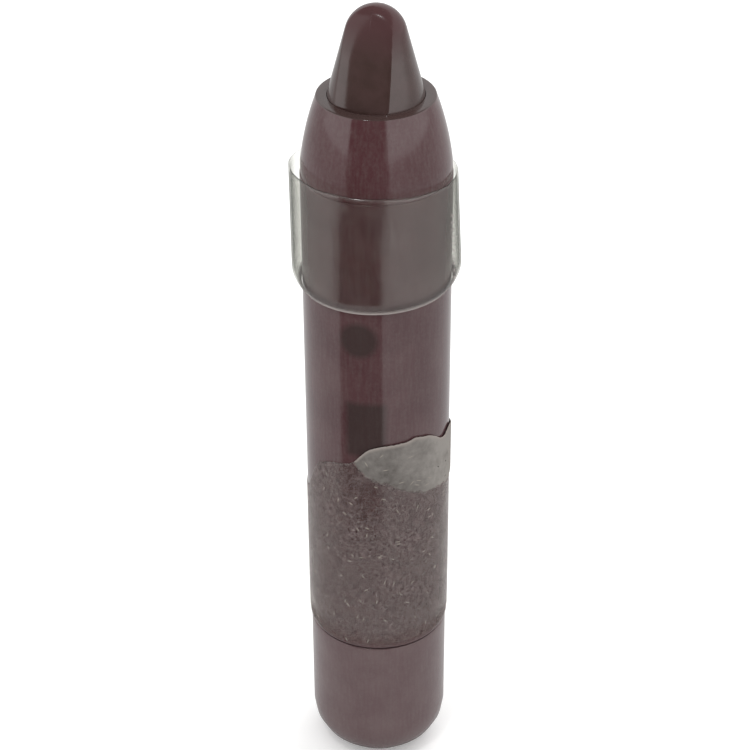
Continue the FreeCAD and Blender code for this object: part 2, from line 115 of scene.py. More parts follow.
def smooth_outline(corners, closed=True):
    """Rounds the corners, given as (across, up, rounding), and divides long stretches."""
    points = []
    for index, (across, up, rounding) in enumerate(corners):
        here = Vector((across, up))
        if rounding == 0:
            points.append(here)
            continue
        before = Vector(corners[index - 1][:2])
        after = Vector(corners[(index + 1) % len(corners)][:2])
        points += corner_arc(before, here, after, rounding)
    even = []
    for here, ahead in zip(points, points[1:] + points[:1] if closed else points[1:]):
        parts = max(1, math.ceil((ahead - here).length / LONGEST))
        even += [here.lerp(ahead, part / parts) for part in range(parts)]
    return even if closed else even + [points[-1]]


# %% [markdown]
# ## From an outline to a mesh
#
# Every piece here is an outline carried once round the crayon's axis. A Screw modifier could
# do that for the plain ones, but the torn film and the skewed seal change as they go round.
# So one function asks for the outline at each angle and joins the columns with quads. Angle 0
# is the front, -Y, and angles grow towards +X.

# %% Carry an outline round the axis
AROUND = 160             # columns of quads round a piece
ON_AXIS = 1e-6           # a ring with a smaller radius than this is one point on the axis


def to_object(name, shape):
    """Turns a finished bmesh into an object of the scene."""
    mesh = bpy.data.meshes.new(name)
    shape.to_mesh(mesh)
    shape.free()
    made = bpy.data.objects.new(name, mesh)
    bpy.context.scene.collection.objects.link(made)
    print(f"{name}: {len(mesh.polygons)} faces")
    return made


def wrapped(name, outline_at, closed=True, around=AROUND):
    """A mesh piece whose outline at each angle is what outline_at says, in millimetres."""
    angles = [2 * math.pi * column / around for column in range(around)]
    columns = [outline_at(angle) for angle in angles]
    shape = bmesh.new()
    rings = []
    for step in range(len(columns[0])):
        if columns[0][step][0] < ON_AXIS:
            rings.append([shape.verts.new((0, 0, columns[0][step][1] * MM))] * around)
            continue
        ring = []
        for angle, column in zip(angles, columns):
            across, up = column[step]
            spot = Vector((across * math.sin(angle), -across * math.cos(angle), up))
            ring.append(shape.verts.new(spot * MM))
        rings.append(ring)
    for low, high in zip(rings, rings[1:] + rings[:1] if closed else rings[1:]):
        for column in range(around):
            ahead = (column + 1) % around
            loop = [low[column], low[ahead], high[ahead], high[column]]
            shape.faces.new(list(dict.fromkeys(loop)))
    bmesh.ops.recalc_face_normals(shape, faces=shape.faces)
    piece = to_object(name, shape)
    piece.data.shade_smooth()
    even = piece.modifiers.new("even_shading", "WEIGHTED_NORMAL")
    even.keep_sharp = True
    return piece


def fit(piece, body, node, material):
    """The piece rides on its body, stands for its node of the frame and gets its finish."""
    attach(piece, body)
    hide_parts(node)
    piece.data.materials.append(material)


# %% [markdown]
# ## Colour and nodes
#
# Colours are written as the sRGB hex values a designer would pick, and one function turns
# them to the linear values that light is worked out in. A second function adds any shader
# node with its settings and its links, so each material reads as a short recipe.

# %% Helpers for the finishes
def linear(code):
    """A linear colour with alpha from an sRGB hex code."""
    parts = [int(code[place:place + 2], 16) / 255 for place in (1, 3, 5)]
    low = [part / 12.92 for part in parts]
    high = [((part + 0.055) / 1.055) ** 2.4 for part in parts]
    return (*[a if part <= 0.04045 else b for part, a, b in zip(parts, low, high)], 1.0)


def add(tree, kind, inputs=None, **settings):
    """Adds a shader node. An input takes a value, or an output socket to be linked to it."""
    made = tree.nodes.new("ShaderNode" + kind)
    for word, value in settings.items():
        setattr(made, word, value)
    for place, value in (inputs or {}).items():
        if isinstance(value, bpy.types.NodeSocket):
            tree.links.new(value, made.inputs[place])
        else:
            made.inputs[place].default_value = value
    return made


def new_finish(name):
    """An empty material, its node tree and the object coordinates, which are in metres."""
    material = bpy.data.materials.new(name)
    material.use_nodes = True
    tree = material.node_tree
    tree.nodes.clear()
    return material, tree, add(tree, "TexCoord").outputs["Object"]


def finish_with(material, surface):
    """Sends a shader to the material's surface."""
    add(material.node_tree, "OutputMaterial", {"Surface": surface})
    print(f"{material.name}: {len(material.node_tree.nodes)} nodes")


def per_metre(size):
    """The texture scale that makes one feature of a noise this many millimetres."""
    return 1 / (size * MM)


# %% [markdown]
# ## Moulded ABS
#
# The barrel, nose and knob are glossy ABS, moulded in colour against a polished steel tool.
# ABS mirrors some 4% of what it faces, so it shows soft grey veils beside a dark stripe, where
# nothing bright stands in front. Handling leaves hairline scratches along the crayon. They
# hold a little dust and blur the veils unevenly, which keeps these from looking drawn with a
# ruler.

# %% A recipe for burgundy ABS
ABS_IOR = 1.52
HAIRLINE = 0.16          # scratches are drawn about this wide, coarser than the real 0.02
DRIFT = 3.5              # size of the patches where the colour wanders to its duller form
FLECK = 0.3              # size of a dust fleck, also coarser than real dust
DUST_SHARE = 0.18        # the share of the plastic that the thickest dust hides
DULLED = 0.09            # roughness that the worst scratch adds


def moulded_abs(name, colour, worn, gloss):
    """Glossy moulded plastic. worn is a second, duller colour that drifts over the first."""
    material, tree, place = new_finish(name)
    drift = add(tree, "TexNoise", {"Vector": place, "Scale": per_metre(DRIFT), "Detail": 6.0})
    tone = add(tree, "MapRange", {"Value": drift.outputs["Fac"], "From Min": 0.38,
                                  "From Max": 0.66})
    stretch = add(tree, "Mapping", {"Vector": place, "Scale": (1, 1, 0.12)})
    streak = add(tree, "TexNoise", {"Vector": stretch.outputs[0], "Scale": per_metre(HAIRLINE * 2),
                                    "Detail": 3.0, "Roughness": 0.6})
    body = add(tree, "Mix", {"Factor": tone.outputs[0], 6: linear(colour), 7: linear(worn)},
               data_type="RGBA")
    speck = add(tree, "TexNoise", {"Vector": place, "Scale": per_metre(FLECK), "Detail": 5.0,
                                   "Roughness": 0.7})
    mixed = add(tree, "Math", {0: streak.outputs["Fac"], 1: speck.outputs["Fac"]},
                operation="MULTIPLY")
    caught = add(tree, "MapRange", {"Value": mixed.outputs[0], "From Min": 0.17,
                                    "From Max": 0.42, "To Max": DUST_SHARE})
    dusted = add(tree, "Mix", {"Factor": caught.outputs[0], 6: body.outputs[2],
                               7: linear("#77706B")}, data_type="RGBA")
    dull = add(tree, "MapRange", {"Value": streak.outputs["Fac"], "From Min": 0.4, "From Max": 0.75,
                                  "To Min": gloss, "To Max": gloss + DULLED})
    wave = add(tree, "Bump", {"Height": streak.outputs["Fac"], "Strength": 0.05,
                              "Distance": 0.02 * MM})
    surface = add(tree, "BsdfPrincipled", {"Base Color": dusted.outputs[2], "IOR": ABS_IOR,
                                           "Roughness": dull.outputs[0],
                                           "Normal": wave.outputs[0]})
    return material, tree, place, surface


def coat(tree, surface, cover, colour):
    """Lays a thin coat over a surface's own colour, where the mask cover says."""
    own = surface.inputs["Base Color"]
    coated = add(tree, "Mix", {"Factor": cover, 6: own.links[0].from_socket, 7: linear(colour)},
                 data_type="RGBA")
    tree.links.new(coated.outputs[2], own)


# %% [markdown]
# ## The twist knob
#
# The knob is the crayon's foot: a thick-walled cup with a large rounding, which the user
# turns. It is 0.2 mm a side smaller than the barrel, so that the two never rub at the seam.
# Turning an outline gives its rounding exactly, where a bevelled cylinder would only come
# near it.

# %% Build the knob
KNOB_ROUNDING = 4.3
KNOB_WALL = 1.0
SEAM_BREAK = 0.12        # rounding of the two edges that meet at the seam

knob_finish, _, _, knob_surface = moulded_abs(
    "abs_knob_moulded", "#5E484A", "#655152", 0.17)
finish_with(knob_finish, knob_surface.outputs[0])

knob_corners = [
    (0, KNOB_FOOT, 0),
    (KNOB_R, KNOB_FOOT, KNOB_ROUNDING),
    (KNOB_R, KNOB_TOP, SEAM_BREAK),
    (KNOB_R - KNOB_WALL, KNOB_TOP, EDGE_BREAK),
    (KNOB_R - KNOB_WALL, KNOB_FOOT + KNOB_WALL, KNOB_ROUNDING - KNOB_WALL),
    (0, KNOB_FOOT + KNOB_WALL, 0),
]
knob_outline = smooth_outline(knob_corners, closed=False)
twist_knob = wrapped("twist_knob_shell", lambda angle: knob_outline, closed=False)
fit(twist_knob, "knob", "twist_knob", knob_finish)

# %% [markdown]
# ## The printed marks
#
# The barrel carries small dark pad-printed marks down its front. They are plain here: a disc
# and a bar. Print is a film of ink a few microns thick, so it belongs in the material and not
# in the mesh. The shape is worked out from the distance to a small box, so the same few nodes
# draw a disc when the box has no size.

# %% Draw print on an unrolled surface
def unrolled(tree, place, radius):
    """A round piece's surface laid flat, in millimetres: along the curve, and up."""
    parts = add(tree, "SeparateXYZ", {"Vector": place})
    front = add(tree, "Math", {0: parts.outputs["Y"], 1: -1.0}, operation="MULTIPLY")
    turn = add(tree, "Math", {0: parts.outputs["X"], 1: front.outputs[0]}, operation="ARCTAN2")
    along = add(tree, "Math", {0: turn.outputs[0], 1: radius}, operation="MULTIPLY")
    up = add(tree, "Math", {0: parts.outputs["Z"], 1: 1 / MM}, operation="MULTIPLY")
    return add(tree, "CombineXYZ", {"X": along.outputs[0], "Y": up.outputs[0]}).outputs[0]


def printed_shape(tree, flat, middle, half_size, rounding, softness=0.35):
    """A mask that is 1 inside a rounded rectangle, or inside a disc if half_size is 0."""
    aside = add(tree, "VectorMath", {0: flat, 1: (*middle, 0)}, operation="SUBTRACT")
    folded = add(tree, "VectorMath", {0: aside.outputs[0]}, operation="ABSOLUTE")
    beyond = add(tree, "VectorMath", {0: folded.outputs[0], 1: (*half_size, 0)},
                 operation="SUBTRACT")
    outside = add(tree, "VectorMath", {0: beyond.outputs[0], 1: (0, 0, 0)}, operation="MAXIMUM")
    away = add(tree, "VectorMath", {0: outside.outputs[0]}, operation="LENGTH")
    return add(tree, "MapRange", {"Value": away.outputs["Value"], "From Min": rounding + softness,
                                  "From Max": rounding - softness}).outputs[0]


# %% [markdown]
# ## The barrel
#
# The barrel is a straight tube with a 1 mm wall. A thicker lip inside its foot is what the
# snap ring sits over. Its outline is closed, so the mesh is a real tube with an inside.

# %% Build the barrel
BARREL_WALL = 1.0
LIP_WALL = 1.5
LIP_HEIGHT = 3.15
PRINT_ANGLE = -13        # degrees round from the front
PRINT_MIDDLE = math.radians(PRINT_ANGLE) * BARREL_R
DISC_SPOT, DISC_R = (PRINT_MIDDLE - 0.2, 52.8), 1.8      # a spot is (along the curve, up)
BAR_SPOT, BAR_HALF, BAR_ROUNDING = (PRINT_MIDDLE + 0.45, 42.9), (1.5, 2.6), 0.4
INK_COVER = 0.72         # the share of the plastic that the worn ink still hides

barrel_finish, barrel_tree, barrel_place, barrel_surface = moulded_abs(
    "abs_barrel_moulded", "#4F3538", "#583F41", 0.1)
flat = unrolled(barrel_tree, barrel_place, BARREL_R)
disc = printed_shape(barrel_tree, flat, DISC_SPOT, (0, 0), DISC_R)
bar = printed_shape(barrel_tree, flat, BAR_SPOT, BAR_HALF, BAR_ROUNDING)
shapes = add(barrel_tree, "Math", {0: disc, 1: bar}, operation="MAXIMUM")
ink = add(barrel_tree, "Math", {0: shapes.outputs[0], 1: INK_COVER}, operation="MULTIPLY")
coat(barrel_tree, barrel_surface, ink.outputs[0], "#37302E")
finish_with(barrel_finish, barrel_surface.outputs[0])

barrel_corners = [
    (BARREL_R - LIP_WALL, BARREL_FOOT, EDGE_BREAK),
    (BARREL_R, BARREL_FOOT, SEAM_BREAK),
    (BARREL_R, BARREL_TOP, EDGE_BREAK),
    (BARREL_R - BARREL_WALL, BARREL_TOP, 0),
    (BARREL_R - BARREL_WALL, BARREL_FOOT + LIP_HEIGHT, 0),
    (BARREL_R - LIP_WALL, BARREL_FOOT + LIP_HEIGHT, EDGE_BREAK),
]
barrel_outline = smooth_outline(barrel_corners)
barrel = wrapped("barrel_tube", lambda angle: barrel_outline)
fit(barrel, "barrel", "barrel", barrel_finish)

# %% [markdown]
# ## The nose cone
#
# The nose tapers in a shallow bow from the barrel to a thin rim round the bullet. Its foot
# is a plug pressed into the barrel. The cap once slid over the short neck, so the neck is a
# hair smaller than the barrel. The rim's flat top has taken a smear of brown wax.

# %% Build the nose cone
PLUG_GAP = 0.02
PLUG_LEAD = 0.25         # rounding that leads the plug into the barrel
NECK_HEIGHT = 1.1
NOSE_BOW = 28.0
RIM_REACH = 1.07         # from the bullet's side to the outside of the nose at its rim
RIM_ROUNDING = 0.25
SMEAR_START, SMEAR_FULL = 0.12, 0.04     # below the rim's top
BULLET_GAP = 0.015       # the wax has smeared over most of the real 0.12 mm gap
BORE_R = BULLET_R + BULLET_GAP
RIM_R = BULLET_R + RIM_REACH

nose_finish, nose_tree, nose_place, nose_surface = moulded_abs(
    "abs_nose_moulded", "#4E3033", "#54383B", 0.11)
nose_up = add(nose_tree, "SeparateXYZ", {"Vector": nose_place})
smeared = add(nose_tree, "MapRange", {"Value": nose_up.outputs["Z"],
                                      "From Min": (RIM_TOP - SMEAR_START) * MM,
                                      "From Max": (RIM_TOP - SMEAR_FULL) * MM})
coat(nose_tree, nose_surface, smeared.outputs[0], "#453634")
finish_with(nose_finish, nose_surface.outputs[0])

plug_r = BARREL_R - BARREL_WALL - PLUG_GAP
nose_corners = [
    (BORE_R, PLUG_FOOT, EDGE_BREAK),
    (plug_r, PLUG_FOOT, PLUG_LEAD),
    (plug_r, BARREL_TOP, 0),
    (NECK_R, BARREL_TOP, 0.06),
    *bow((NECK_R, BARREL_TOP + NECK_HEIGHT), (RIM_R, RIM_TOP - RIM_ROUNDING), NOSE_BOW),
    (RIM_R - 0.07, RIM_TOP, RIM_ROUNDING * 0.6),
    (BORE_R, RIM_TOP, 0.03),
]
nose_outline = smooth_outline(nose_corners)
nose_cone = wrapped("nose_cone_shell", lambda angle: nose_outline)
fit(nose_cone, "barrel", "nose_cone", nose_finish)

# %% [markdown]
# ## The bullet
#
# The bullet is lip wax, poured hot into a polished mould and chilled. Its cone took the
# mould's gloss, and greasy handling blurs that a little. Wax is darker than the
# plastic because light sinks in before it comes back. Use has rubbed the dome warmer, and has
# worn a shallow flat down the front. The flat is a plane that cuts the turned shape, with one
# crisp side and one that has softened, so the outline is held back to it at each angle.

# %% Build the bullet
TIP_RADIUS = 2.8
TIP_HALF_ANGLE = math.radians(15)
CUP_DEPTH = 4.5
SOCKET_R = 3.95
CONE_BLEND = 1.2         # rounding where the cone meets the straight part
RUBBED_START, RUBBED_FULL = 4.5, 1.5     # below the tip
BLOTCH = 1.4             # size of a blotch of paler wax

wax_finish, wax_tree, wax_place = new_finish("lip_wax_poured")
height = add(wax_tree, "SeparateXYZ", {"Vector": wax_place})
rubbed = add(wax_tree, "MapRange", {"Value": height.outputs["Z"],
                                    "From Min": (TIP - RUBBED_START) * MM,
                                    "From Max": (TIP - RUBBED_FULL) * MM})
smear = add(wax_tree, "TexNoise", {"Vector": wax_place, "Scale": per_metre(BLOTCH),
                                   "Detail": 5.0})
blotch = add(wax_tree, "MapRange", {"Value": smear.outputs["Fac"], "From Min": 0.35,
                                    "From Max": 0.7})
wax_tone = add(wax_tree, "Mix", {"Factor": blotch.outputs[0], 6: linear("#41302D"),
                                 7: linear("#493634")}, data_type="RGBA")
tip_tone = add(wax_tree, "Mix", {"Factor": rubbed.outputs[0], 6: wax_tone.outputs[2],
                                 7: linear("#4E3536")}, data_type="RGBA")
skin = add(wax_tree, "Bump", {"Height": smear.outputs["Fac"], "Strength": 0.25,
                              "Distance": 0.05 * MM})
rubbed_dull = add(wax_tree, "MapRange", {"Value": rubbed.outputs[0], "To Min": 0.16,
                                         "To Max": 0.22})
rubbed_ior = add(wax_tree, "MapRange", {"Value": rubbed.outputs[0], "To Min": 1.56,
                                        "To Max": 1.3})
wax_surface = add(wax_tree, "BsdfPrincipled", {"Base Color": tip_tone.outputs[2],
                                               "IOR": rubbed_ior.outputs[0],
                                               "Roughness": rubbed_dull.outputs[0],
                                               "Normal": skin.outputs[0]})
finish_with(wax_finish, wax_surface.outputs[0])

dome_middle = TIP - TIP_RADIUS
cone_top_r = TIP_RADIUS * math.cos(TIP_HALF_ANGLE)
cone_top = dome_middle + TIP_RADIUS * math.sin(TIP_HALF_ANGLE)
cone_foot = cone_top - (BULLET_R - cone_top_r) / math.tan(TIP_HALF_ANGLE)
DOME_STEPS = 14
dome_turns = [TIP_HALF_ANGLE + (math.pi / 2 - TIP_HALF_ANGLE) * step / DOME_STEPS
              for step in range(DOME_STEPS)]
bullet_corners = [
    (0, BULLET_FOOT, 0),
    (SOCKET_R, BULLET_FOOT, 0.2),
    (SOCKET_R, BULLET_FOOT + CUP_DEPTH, 0),
    (BULLET_R, BULLET_FOOT + CUP_DEPTH, EDGE_BREAK),
    (BULLET_R, cone_foot, CONE_BLEND),
    *[(TIP_RADIUS * math.cos(t), dome_middle + TIP_RADIUS * math.sin(t), 0) for t in dome_turns],
    (0, TIP, 0),
]
bullet_outline = smooth_outline(bullet_corners, closed=False)

FLAT_ANGLE = math.radians(-20)
FLAT_AT_RIM = BULLET_R - 0.68    # from the axis to the flat, at the height of the nose's rim
FLAT_SLOPE = 0.32                # and how much nearer to the axis it comes per mm upwards
FLAT_EDGES = (0.5, 0.06)         # softness of its left and its right side
FLAT_FADE = 0.25                 # and how much softer both are per mm up the dome


def worn_outline(angle):
    """The bullet's outline at an angle, held back to the worn flat."""
    facing = math.cos(angle - FLAT_ANGLE)
    if facing < 0.2:             # the plane of the flat never comes this far round
        return bullet_outline
    edge = FLAT_EDGES[math.sin(angle - FLAT_ANGLE) > 0]
    worn = []
    for across, up in bullet_outline:
        softness = edge + max(0, up - dome_middle + 1) * FLAT_FADE
        limit = (FLAT_AT_RIM - FLAT_SLOPE * (up - RIM_TOP)) / facing
        blend = max(softness - abs(across - limit), 0) ** 2 / (4 * softness)
        worn.append(Vector((min(across, limit) - min(blend, across / 2), up)))
    return worn


bullet = wrapped("lip_bullet_wax", worn_outline, closed=False, around=320)
fit(bullet, "lift", "lip_bullet", wax_finish)

# %% [markdown]
# ## Clear film
#
# Shrink seal and label are PET film. Seen straight on, film lets nearly everything through.
# Seen edge on, the ray runs a long way inside it and it mirrors more, so it turns grey-green,
# and a sleeve of film shows best at its two sides. A mix of Transparent shaders by
# Layer Weight gives both looks without glass that would need many bounces. The back of each
# film was wiped in use and stays clearer. The mirrored share follows Schlick's curve on the
# same Facing value, because a Fresnel node would take the film's far side for the inside of a
# thick block and make it a full mirror.

# %% A recipe for clear film
PET_HEAD_ON = 0.035      # the share that soft, hazed film mirrors, seen straight on
THICKENS = 2             # the tint grows to full over this height above the film's foot
WIPED_FROM, WIPED_TO = -1, 2.5   # from front to back, where the film gets clearer
WIPED_TINT = 0.15        # the share of the tint that is left at the back


def clear_film(name, edge_tint, gloss, edge_on, foot):
    """See-through film: its material, tree, coordinates, clear shader, mirror and mirrored share.

    edge_on is the share that it mirrors seen edge on. The tint starts at the height foot,
    because a film is thinnest where it was drawn against the barrel.
    """
    material, tree, place = new_finish(name)
    slant = add(tree, "LayerWeight", {"Blend": 0.5})
    grazing = add(tree, "Math", {0: slant.outputs["Facing"], 1: 2.5}, operation="POWER")
    parts = add(tree, "SeparateXYZ", {"Vector": place})
    wiped = add(tree, "MapRange", {"Value": parts.outputs["Y"], "From Min": WIPED_FROM * MM,
                                   "From Max": WIPED_TO * MM, "To Min": 1.0,
                                   "To Max": WIPED_TINT})
    thick = add(tree, "MapRange", {"Value": parts.outputs["Z"], "From Min": foot * MM,
                                   "From Max": (foot + THICKENS) * MM,
                                   "To Max": grazing.outputs[0]})
    tinted = add(tree, "Math", {0: thick.outputs[0], 1: wiped.outputs[0]},
                 operation="MULTIPLY")
    straight = add(tree, "BsdfTransparent", {"Color": linear("#FCFCFA")})
    slanted = add(tree, "BsdfTransparent", {"Color": linear(edge_tint)})
    clear = add(tree, "MixShader", {0: tinted.outputs[0], 1: straight.outputs[0],
                                    2: slanted.outputs[0]})
    mirror = add(tree, "BsdfGlossy", {"Color": (1, 1, 1, 1), "Roughness": gloss})
    steep = add(tree, "Math", {0: slant.outputs["Facing"], 1: 5.0}, operation="POWER")
    share = add(tree, "MapRange", {"Value": steep.outputs[0], "To Min": PET_HEAD_ON,
                                   "To Max": edge_on})
    return material, tree, place, clear.outputs[0], mirror, share.outputs[0]


# %% [markdown]
# ## The seal band
#
# This is what is left of the shrink seal over the cap joint. It kept the cap's diameter, so
# it stands off the barrel, leans a little and is cut askew. Heat drew its foot in against the
# barrel, and its top edge is a bare cut. White along the drawn foot and the front of the cut
# edge is a painted highlight. A column of small tear perforations runs up its right side.

# %% Build the seal band
SEAL_FOOT = BARREL_TOP - 11.05
SEAL_LEN = 12.55
SEAL_SKEW = 1.1          # its left side is this much longer than its right
SEAL_BACK_CUT = 1.6      # the cut runs this much lower at the back
SEAL_LEAN = math.radians(1.4)
SEAL_FILM = 0.15
SEAL_FOOT_R = BARREL_R + 0.75 + SEAL_FILM
SEAL_TOP_R = BARREL_R + 0.55 + SEAL_FILM
SEAL_LIP_R = BARREL_R + 0.06 + SEAL_FILM
DRAWN_IN = 1.6           # height over which the foot is drawn in
DRAWN_STEPS, WALL_STEPS = 14, 26
FOOT_HIGHLIGHT_SPREAD = 0.34        # heights in mm over which the painted highlight runs on the drawn foot and the cut edge
CUT_HIGHLIGHT_SPREAD = 0.12
FOOT_HIGHLIGHT_STRENGTH, CUT_HIGHLIGHT_STRENGTH = 0.85, 0.05   # and how strong each painted highlight is, where 1 hides what is behind


def seal_top(angle):
    """The height of the cut edge above the film's foot, with the wobble of a hand cut."""
    top = SEAL_LEN - SEAL_SKEW / 2 * (1 + math.sin(angle))
    top += 0.05 * math.sin(3 * angle + 1) + 0.03 * math.sin(11 * angle)
    return top - SEAL_BACK_CUT * (0.5 - 0.5 * math.cos(angle)) ** 1.5


def seal_outline(angle):
    """The film's section: up its outside, over the cut top edge and down its inside."""
    outside = []
    for step in range(DRAWN_STEPS):
        share = step / DRAWN_STEPS
        swell = 1 - (1 - share) ** 1.8
        outside.append(Vector((SEAL_LIP_R + (SEAL_FOOT_R - SEAL_LIP_R) * swell,
                               DRAWN_IN * share)))
    start, end = Vector((SEAL_FOOT_R, DRAWN_IN)), Vector((SEAL_TOP_R, seal_top(angle)))
    outside += [start.lerp(end, step / WALL_STEPS) for step in range(WALL_STEPS + 1)]
    return outside + [Vector((p.x - SEAL_FILM, p.y)) for p in reversed(outside)]


seal_band = wrapped("seal_band_film", seal_outline)
# painted highlight: white along the drawn-in foot, and along the cut edge at the front only
painted_foot_and_cut_highlight = seal_band.data.attributes.new("painted_foot_and_cut_highlight", "FLOAT", "POINT")
for vertex, value in zip(seal_band.data.vertices, painted_foot_and_cut_highlight.data):
    spot = vertex.co / MM
    under_cut = seal_top(math.atan2(spot.x, -spot.y)) - spot.z
    value.value = (FOOT_HIGHLIGHT_STRENGTH * math.exp(-(spot.z / FOOT_HIGHLIGHT_SPREAD) ** 2)
                   + (CUT_HIGHLIGHT_STRENGTH if spot.y < 0 else 0) * math.exp(-(under_cut / CUT_HIGHLIGHT_SPREAD) ** 2))
seal_band.data.transform(Matrix.Translation((0, 0, SEAL_FOOT * MM))
                         @ Matrix.Rotation(-SEAL_LEAN, 4, "Y"))

# %% [markdown]
# The finish adds the tear perforations, a faint cloudy haze, and the painted highlight that the
# mesh carries as a painted attribute. All three mix in a pale diffuse shader instead of passing
# light.

# %% Finish the seal band
PERFORATION_PITCH = 0.7
PERFORATION_MIDDLE = (math.radians(65) * SEAL_FOOT_R, 60)   # along the curve from the front, up
PERFORATION_HALF = (0.1, 4)
HAZE_CLOUD = 2.2         # size of a cloud of haze

seal_finish, seal_tree, seal_place, seal_clear, seal_mirror, seal_share = clear_film(
    "pet_seal_shrunk", "#72736B", 0.2, 0.26, SEAL_FOOT + 0.2)
seal_flat = unrolled(seal_tree, seal_place, SEAL_FOOT_R)
seal_up = add(seal_tree, "SeparateXYZ", {"Vector": seal_flat})
beat = add(seal_tree, "Math", {0: seal_up.outputs["Y"], 1: 2 * math.pi / PERFORATION_PITCH},
           operation="MULTIPLY")
pulse = add(seal_tree, "Math", {0: beat.outputs[0]}, operation="SINE")
cuts = add(seal_tree, "MapRange", {"Value": pulse.outputs[0], "From Min": 0.2, "From Max": 0.6})
column = printed_shape(seal_tree, seal_flat, PERFORATION_MIDDLE, PERFORATION_HALF, 0.1,
                       softness=0.12)
ticks = add(seal_tree, "Math", {0: cuts.outputs[0], 1: column}, operation="MULTIPLY")
haze_noise = add(seal_tree, "TexNoise", {"Vector": seal_place,
                                         "Scale": per_metre(HAZE_CLOUD), "Detail": 4.0})
haze = add(seal_tree, "MapRange", {"Value": haze_noise.outputs["Fac"], "From Min": 0.3,
                                   "From Max": 0.8, "To Max": 0.03})
# the painted highlight of the foot and the cut edge, from the mesh's attribute
painted_edge_highlight = add(seal_tree, "Attribute", attribute_name="painted_foot_and_cut_highlight")
marks = add(seal_tree, "Math", {0: ticks.outputs[0], 1: 0.5, 2: painted_edge_highlight.outputs["Fac"]},
            operation="MULTIPLY_ADD")
haze_ticks_and_highlight = add(seal_tree, "Math", {0: marks.outputs[0], 1: haze.outputs[0]}, operation="ADD",
           use_clamp=True)
# one pale diffuse draws the haze, the perforations and the painted highlight
scatter = add(seal_tree, "BsdfDiffuse", {"Color": linear("#BDB3B0")})
hazy_and_highlighted = add(seal_tree, "MixShader", {0: haze_ticks_and_highlight.outputs[0], 1: seal_clear, 2: scatter.outputs[0]})
seal_surface = add(seal_tree, "MixShader", {0: seal_share, 1: hazy_and_highlighted.outputs[0],
                                            2: seal_mirror.outputs[0]})
finish_with(seal_finish, seal_surface.outputs[0])
fit(seal_band, "barrel", "seal_band", seal_finish)

# %% [markdown]
# ## The torn label film
#
# The label was peeled off and tore, so its top edge wanders. On the right it came unstuck as
# well: that patch holds air and dried glue, which scatter light, so it looks matt grey. The
# lower part is still stuck down, under dust and lint that stays on the old glue.
#
# Two curves describe it, each given as (angle in degrees, height): the tear, and the
# lower end of the unstuck patch. The mesh follows the tear, and a painted attribute tells the
# material where the patch is.

# %% Describe the tear and the unstuck patch
PEEL_HEIGHT = 0.8        # the film comes away over this height
NICKS = ((0.07, 9), (0.04, 31))  # the depth of the tear's nicks, and how closely they come
TEAR = [(-180, 35.0), (-130, 33.5), (-90, 32.3), (-75, 33.2), (-64, 35.4), (-55, 37.3),
        (-40, 38.3), (-21, 39.0), (-8, 40.7), (3, 41.2), (18, 41.3), (32, 41.55), (46, 41.0),
        (61, 39.8), (76, 40.1), (90, 39.2), (110, 38.3), (140, 37.0)]
UNSTUCK = [(-180, 36.0), (-90, 34.0), (-64, 36.5), (-40, 39.0), (-21, 39.0), (-11, 37.6),
           (-4, 36.9), (6, 36.4), (18, 35.5), (42, 34.3), (60, 33.9), (77, 33.3), (100, 34.0),
           (140, 37.0)]


def along_curve(points, angle):
    """A smooth height from a closed list of (degrees, height), at an angle in radians."""
    degrees = (math.degrees(angle) + 180) % 360 - 180
    after = next((i for i, p in enumerate(points) if p[0] > degrees), len(points))
    near = [points[(after + offset) % len(points)] for offset in (-2, -1, 0, 1)]
    (_, h0), (a1, h1), (a2, h2), (_, h3) = near
    share = ((degrees - a1) % 360) / ((a2 - a1) % 360)
    slope_1, slope_2 = (h2 - h0) / 2, (h3 - h1) / 2
    return (h1 + share * (slope_1 + share * (3 * (h2 - h1) - 2 * slope_1 - slope_2
            + share * (2 * (h1 - h2) + slope_1 + slope_2))))


def tear_height(angle):
    """The torn edge, with the small nicks of a real tear."""
    round_spot = Vector((math.sin(angle), math.cos(angle), 0))
    height = along_curve(TEAR, angle)
    for depth, pace in NICKS:
        height += depth * noise.noise(round_spot * pace)
    return height


def lift_share(angle, height):
    """0 where the film is stuck down, and 1 well inside the unstuck patch."""
    above = height - along_curve(UNSTUCK, angle)
    return min(1.0, max(0.0, above / PEEL_HEIGHT))


print(f"the torn edge at the front: {tear_height(0):.2f} mm up")

# %% Build the label film
FILM = 0.06              # its thickness
FILM_COLUMNS = 360
FILM_ROWS = 90
ROW_CROWDING = 0.8       # a power below 1 crowds the rows towards the torn edge
LIFT = 0.11              # how far the unstuck edge stands off
RIM_LIGHT = 0.45         # the tear is paler down to this far below its edge


def film_outline(angle):
    """The film's section at an angle, up its outside and down its inside."""
    rise = tear_height(angle) - FILM_FOOT
    shares = [(row / FILM_ROWS) ** ROW_CROWDING for row in range(FILM_ROWS + 1)]
    heights = [FILM_FOOT + rise * share for share in shares]
    lift = [LIFT * lift_share(angle, height) ** 2 for height in heights]
    lift[0] = 0.01 - FILM    # the foot is pressed down to nothing
    outside = [Vector((FILM_R + off, height)) for off, height in zip(lift, heights)]
    inside = [Vector((p.x - FILM, p.y)) for p in reversed(outside)]
    return outside + inside


label_film = wrapped("label_film_torn", film_outline, around=FILM_COLUMNS)
lifted = label_film.data.attributes.new("lifted", "FLOAT", "POINT")
torn = label_film.data.attributes.new("torn", "FLOAT", "POINT")
for vertex in label_film.data.vertices:
    spot = vertex.co / MM
    angle = math.atan2(spot.x, -spot.y)
    lifted.data[vertex.index].value = lift_share(angle, spot.z)
    torn.data[vertex.index].value = max(0, 1 - (tear_height(angle) - spot.z) / RIM_LIGHT)

